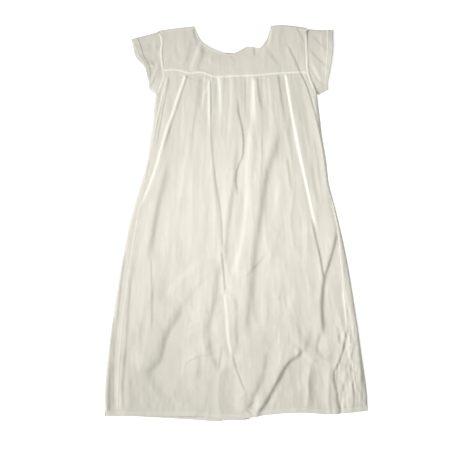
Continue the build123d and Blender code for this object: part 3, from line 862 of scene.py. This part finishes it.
hem("front_hem", front_hem_edge, -356.5, 356.5, front_height)
hem("back_hem_left", back_hem_edge, PLACKET_HALF, 355.5, back_height)
hem("back_hem_right", back_hem_edge, -355.5, -PLACKET_HALF, right_back_height)


# ------------------------------------------------------------
# Side seams: flat-felled from the underarm to the hem. The sides of the back roll round to the
# front, so below the waist the seams lie on the front, a little way in from the edge.

SIDE_SEAM_WIDTH = 5.0
SIDE_SEAMS = {
    "right": through((-514, -323), (-371, -317), (-263, -308), (-155, -294), (-32, -275), (60, -257),
        (164, -239), (257, -224), (346, -210)),
    "left": through((-508, 330), (-380, 318), (-260, 300), (-126, 286), (11, 271), (120, 246), (237, 228),
        (346, 211)),
}
for side, seam_x in SIDE_SEAMS.items():
    levels = np.linspace(-510, 344, 90)
    line = np.stack([seam_x(levels), levels], axis=1)
    name = f"side_seam_{side}"
    seam = strip(name, line, SIDE_SEAM_WIDTH, 0.3, FELLED, front_height, 0.05)
    halves = (f"side_seam_upper_{side}", f"side_seam_lower_{side}")
    sew_on(seam, name, line, (-1.7, 1.7), front_height, 0.36, bend_with_skirt, halves)


# ------------------------------------------------------------
# Shoulder seams and neck binding: the shoulders are felled, and the neckline is bound with a
# narrow bias strip of the same cotton, folded over the raw edge.

BINDING_WIDTH = 4.0
BINDING_SECTION = [(-1, -0.7), (-1, 0.1), (-0.9, 0.55), (-0.3, 0.75), (0.4, 0.7), (0.8, 0.6), (1.05, 0.1),
    (0.9, -0.7)]
SHOULDER_WIDTH = 6.0

SHOULDERS = (("right", right_shoulder_edge, -212, -115), ("left", left_shoulder_edge, 95, 194))
for side, edge, from_x, to_x in SHOULDERS:
    line = level_line(edge, from_x, to_x, -SHOULDER_WIDTH / 2 - 2.5)
    name = f"shoulder_seam_{side}"
    seam = strip(name, line, SHOULDER_WIDTH, 0.5, FELLED, front_height, 0.2)
    sew_on(seam, name, line, (-2.0, 2.0), front_height, 0.4, ride_gown)

neck_line = level_line(neck_edge, NECK_SIDES[0] + 0.5, NECK_SIDES[1] - 0.5, 0.0, 200)
inside_neck = beside(neck_line, -BINDING_WIDTH / 2 + 0.4)
binding = strip("front_neck_binding", inside_neck, BINDING_WIDTH, 0.5, BINDING_SECTION, front_height, 0.0)
binding_row = (-BINDING_WIDTH / 2 + 1.2,)
sew_on(binding, "front_neck_binding", inside_neck, binding_row, front_height, 0.5, ride_gown)
BACK_NECK = (("right", -114, -PLACKET_HALF, right_back_height), ("left", PLACKET_HALF, 94, back_height))
for side, from_x, to_x, surface in BACK_NECK:
    line = beside(level_line(neck_edge, from_x, to_x, -2.0, 90), -BINDING_WIDTH / 2)
    name = f"back_neck_binding_{side}"
    binding = strip(name, line, BINDING_WIDTH, 0.5, BINDING_SECTION, surface)
    sew_on(binding, name, line, binding_row, surface, 0.4, ride_gown)


# ------------------------------------------------------------
# Touch closure: two patches of woven tape, one with small hooks and one with brushed loops,
# stitched flat to the facing sides of the plackets just below the neck.

PATCH_WIDTH, PATCH_HEIGHT, PATCH_THICKNESS = 50.0, 25.0, 0.35
PATCH_LEVEL = 436.0
TUFT_PITCH = 1.6


def tape(name, colour, tuft_colour):
    """Woven tape with a field of fine hooks or loops."""
    material, tree, shader = new_material(name, 0.75, 0.3, 0.5)
    place = scaled_place(tree, TUFT_PITCH, TUFT_PITCH, TUFT_PITCH)
    cells = add_node(tree, "ShaderNodeTexVoronoi", {"Scale": 1.0}, {"Vector": place})
    mix_colours(tree, shader, cells.outputs["Distance"], tuft_colour, colour)
    add_bump(tree, shader, cells.outputs["Distance"], 0.8, 0.0006)
    return material


for kind, low in (("hook", 0.55), ("loop", 0.95)):
    material = tape(f"{kind}_tape", "#E4E1D6", "#F4F2EB")
    half = PATCH_WIDTH / 2 - 1
    line = np.array([(-half, PATCH_LEVEL), (half, PATCH_LEVEL)])
    patch = strip(
        f"closure_patch_{kind}", line, PATCH_HEIGHT, PATCH_THICKNESS, PLACKET_SECTION,
        opening_surface(low), 0.0, material,
    )
    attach(patch, "gown_body")
    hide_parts(f"closure_patch_{kind}")


# ------------------------------------------------------------
# Sleeves: short cap sleeves, each one piece of cotton folded over at the top and closed by a
# felled underarm seam. They are set into the armholes with felled seams and end in 15 mm hems.

SLEEVE_ROWS = 30
SLEEVE_COLUMNS = 180
SLEEVE_EDGE = 1.5
SLEEVE_HEM = 15.0
SLEEVE_LENGTH = 62.0        # nominal, from armhole to cuff

SLEEVES = {
    "right": {
        "edge": right_edge, "arm": (349.0, 522.0),
        "front_cuff": [(-238, 366), (-238, 385), (-243, 405), (-246, 424), (-252, 438), (-265, 454),
            (-272, 470), (-278, 484), (-287, 501)],
        "back_cuff": [(-238, 366), (-238, 384), (-242, 403), (-248, 422), (-257, 434), (-270, 447),
            (-278, 463), (-281, 480), (-287, 501)],
        "opening": 7.0,
        "folds": [
            ([(-250, 424), (-238, 428), (-224, 429)], 2.6, 2.4, 9, 7, 5, 6),
            ([(-208, 470), (-235, 462), (-268, 462)], -1.5, 4.0, 12, 12, 12, 12),
            ([(-212, 505), (-240, 492), (-276, 488)], -1.0, 5.0, 12, 12, 15, 15),
            ([(-210, 440), (-222, 410), (-232, 385)], 1.8, 3.5, 9, 10, 15, 15),
            ([(-218, 398), (-226, 382), (-232, 366)], -1.4, 3.0, 8, 8, 8, 8),
            ([(-215, 515), (-222, 490), (-218, 462)], 1.0, 4.0, 9, 9, 10, 15),
        ],
    },
    "left": {
        "edge": left_edge, "arm": (349.0, 528.0),
        "front_cuff": [(252, 363), (251, 375), (256, 412), (261, 443), (265, 480), (265, 505), (266, 527)],
        "back_cuff": [(252, 363), (251.5, 375), (256, 412), (261, 443), (265, 480), (265, 505), (266, 527)],
        "opening": 7.0,
        "folds": [
            ([(192, 480), (215, 455), (240, 430), (254, 418)], -0.8, 3.0, 10, 10, 15, 15),
            ([(205, 515), (228, 488), (252, 470)], -0.7, 3.5, 10, 10, 15, 15),
            ([(200, 440), (218, 410), (232, 378)], 1.4, 3.5, 10, 10, 15, 15),
            ([(214, 400), (228, 384), (246, 374)], -0.7, 3.0, 8, 8, 8, 10),
            ([(228, 525), (232, 480), (238, 440)], 0.8, 5.0, 12, 12, 15, 20),
        ],
    },
}


def along_points(points, share):
    """Places along a smooth line, by share of its length."""
    line = smooth_line(points, 12)
    distances = np.concatenate([[0.0], np.cumsum(np.linalg.norm(np.diff(line, axis=0), axis=1))])
    place = np.asarray(share) * distances[-1]
    return np.interp(place, distances, line[:, 0]), np.interp(place, distances, line[:, 1])


def sleeve_surface(sleeve, turn, out):
    """Places on a sleeve: turn goes round from the underarm over the front, out from armhole to cuff."""
    share = (1 - np.cos(turn)) / 2
    on_front = np.sin(turn) >= 0
    arm_y = sleeve["arm"][0] * (1 - share) + sleeve["arm"][1] * share
    arm_x = sleeve["edge"](arm_y)
    front_x, front_y = along_points(sleeve["front_cuff"], share)
    back_x, back_y = along_points(sleeve["back_cuff"], share)
    cuff_x, cuff_y = np.where(on_front, front_x, back_x), np.where(on_front, front_y, back_y)
    x = arm_x * (1 - out) + cuff_x * out
    y = arm_y * (1 - out) + cuff_y * out
    ring = np.abs(np.sin(turn)) ** 0.5
    gape = sleeve["opening"] * out**1.3 * np.sin(math.pi * np.clip(share, 0, 1))
    loft = (HOLLOW - SLEEVE_EDGE) * (1 - 0.25 * out) + gape
    wrinkle = 0.5 * soft_noise(x, y, 16, 22, 21) + 0.12 * soft_noise(x, y, 6, 9, 22)
    folds = sum(fold_height(x, y, fold) for fold in sleeve["folds"])
    front_z = SLEEVE_EDGE + ring * (loft + (wrinkle + folds) * smooth(out * 5))
    back_wrinkle = 0.3 * smooth(out * 4) * (1 + soft_noise(x, y, 30, 30, 23))
    back_z = SLEEVE_EDGE + ring * (BACK_HEIGHT - SLEEVE_EDGE + back_wrinkle)
    return x, y, np.where(on_front, front_z, back_z)


def sleeve_bend(piece, side):
    """Bake a sleeve's piece in place; the shoulder and underarm of its armhole are worked out but not used.
    """
    edge = SLEEVES[side]["edge"]
    shoulder, underarm = (np.array([edge(y), y]) for y in (SHOULDER_HEIGHT, UNDERARM_HEIGHT))
    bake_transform(piece)


def ring_piece(name, sleeve, out_places, thickness, offset, material, layers_and_highlight):
    """A piece that goes right round a sleeve between some shares of the way out."""
    turn = np.linspace(0, 2 * math.pi, SLEEVE_COLUMNS, endpoint=False)[None, :]
    x, y, z = sleeve_surface(sleeve, turn, np.asarray(out_places)[:, None])
    x, y, z = np.broadcast_arrays(x, y, z)
    faces = grid_faces(x.shape[0], x.shape[1], closed=True)
    if sleeve["edge"] is left_edge:
        faces = faces[:, ::-1]
    piece = mesh_piece(name, np.stack([x, y, z], axis=-1), faces, material, layers_and_highlight)
    thicken(piece, thickness, offset)
    return piece


for side, sleeve in SLEEVES.items():
    cuff_share = 1 - SLEEVE_HEM / SLEEVE_LENGTH
    body_rows = np.linspace(0, 0.985, SLEEVE_ROWS)
    body = ring_piece(f"sleeve_{side}", sleeve, body_rows, CLOTH, -1.0, cotton_cloth, 0.0)
    sleeve_bend(body, side)
    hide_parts(f"sleeve_{side}")
    cuff_rows = np.linspace(cuff_share, 1.0, 8)
    cuff = ring_piece(f"sleeve_hem_{side}", sleeve, cuff_rows, 0.65, -0.3, cotton_cloth, 0.05)
    sleeve_bend(cuff, side)
    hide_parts(f"sleeve_hem_{side}")


# ------------------------------------------------------------
# Armhole and underarm seams: the armhole seam goes right round each armhole and is felled
# towards the body; the underarm seam closes the sleeve below.

ARMHOLE_SECTION = np.array([(-5.5, 0.05), (-5.2, 0.5), (-4.0, 0.7), (-2.8, 0.6), (-1.0, 0.8), (0.4, 0.75),
    (1.2, 0.5), (1.4, 0.0)])
UNDERARM_WIDTH = 4.0
UNDERARM_TURN = 0.12        # radians round from the underarm
UNDERARM_REACH = (0.12, 0.75)   # shares of the way from armhole to cuff


def armhole_ring(sleeve, outwards, up):
    """Places round an armhole, moved towards the cuff and away from the surface."""
    turn = np.linspace(0, 2 * math.pi, SLEEVE_COLUMNS, endpoint=False)
    x, y, z = sleeve_surface(sleeve, turn, np.zeros_like(turn))
    cuff_x, cuff_y = sleeve_surface(sleeve, turn, np.ones_like(turn))[:2]
    reach = np.hypot(cuff_x - x, cuff_y - y)
    x, y = x + outwards * (cuff_x - x) / reach, y + outwards * (cuff_y - y) / reach
    front = np.sin(turn) >= 0
    if outwards < 0:
        body_z = np.where(front, front_height(x, y), BACK_HEIGHT)
        blend = np.abs(np.sin(turn)) ** 0.5
        z = z * (1 - blend) + body_z * blend
    return np.stack([x, y, z + np.where(front, up, -up * 0.6) * np.abs(np.sin(turn)) ** 0.3], axis=-1)


for side, sleeve in SLEEVES.items():
    name = f"armhole_seam_{side}"
    points = np.array([armhole_ring(sleeve, outwards, up) for outwards, up in ARMHOLE_SECTION])
    faces = grid_faces(points.shape[0], points.shape[1], closed=True)
    if side == "left":
        faces = faces[:, ::-1]
    seam = mesh_piece(name, points, faces, cotton_cloth, 0.5)
    thicken(seam, 0.4)
    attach(seam, "gown_body")
    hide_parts(name)
    name = f"sleeve_underarm_seam_{side}"
    line = np.array([
        [float(place[0]) for place in sleeve_surface(sleeve, np.array([UNDERARM_TURN]), np.array([out]))[:2]]
        for out in UNDERARM_REACH
    ])
    underarm = strip(name, line, UNDERARM_WIDTH, 0.4, FELLED, lambda x, y: 0 * x + SLEEVE_EDGE + 0.9, 0.2)
    sleeve_bend(underarm, side)
    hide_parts(name)


# ------------------------------------------------------------
# Floor and light: a white light table, which glows so that no shadow shows round the gown, a
# low lamp from the wearer's right, which draws the folds, a small lamp above the middle, and
# an even white sky that fills the shadows.

FLOOR = "#F4F4F3"
FLOOR_GLOW = 0.6
floor_material, floor_tree, floor_shader = new_material("white_floor", 0.95, 0.0, 0.5)
floor_shader.inputs["Base Color"].default_value = linear(FLOOR)
floor_shader.inputs["Emission Color"].default_value = linear(FLOOR)
floor_shader.inputs["Emission Strength"].default_value = FLOOR_GLOW
bpy.ops.mesh.primitive_plane_add(size=600.0, location=(0, 0, -0.0002))
floor = bpy.context.object
floor.name = "floor"
floor.data.materials.append(floor_material)

SUN_FROM = (-0.84, -0.16, 0.50)     # towards the lamp
SUN_STRENGTH = 2.6
SUN_SIZE = 12.0                     # degrees across
TOP_PLACE = (-0.06, 0.0, 0.75)
TOP_POWER = 2.75
TOP_SIZE = 0.25
SKY_STRENGTH = 0.33


def aim(light, towards):
    """Turn a light so that it shines along a direction."""
    x, y, z = np.array(towards) / np.linalg.norm(towards)
    light.rotation_euler = (math.acos(-z), 0.0, math.atan2(y, x) - math.pi / 2)


def add_light(name, kind, energy):
    data = bpy.data.lights.new(name, kind)
    data.energy = energy
    light = bpy.data.objects.new(name, data)
    bpy.context.scene.collection.objects.link(light)
    return light


key_light = add_light("key_light", "SUN", SUN_STRENGTH)
key_light.data.angle = math.radians(SUN_SIZE)
aim(key_light, -np.array(SUN_FROM))
top_light = add_light("top_light", "AREA", TOP_POWER)
top_light.data.size = TOP_SIZE
top_light.location = TOP_PLACE

world = bpy.data.worlds.new("sky")
world.use_nodes = True
world.node_tree.nodes["Background"].inputs["Color"].default_value = (1.0, 1.0, 1.0, 1.0)
world.node_tree.nodes["Background"].inputs["Strength"].default_value = SKY_STRENGTH
bpy.context.scene.world = world
bpy.context.scene.view_settings.view_transform = "Standard"
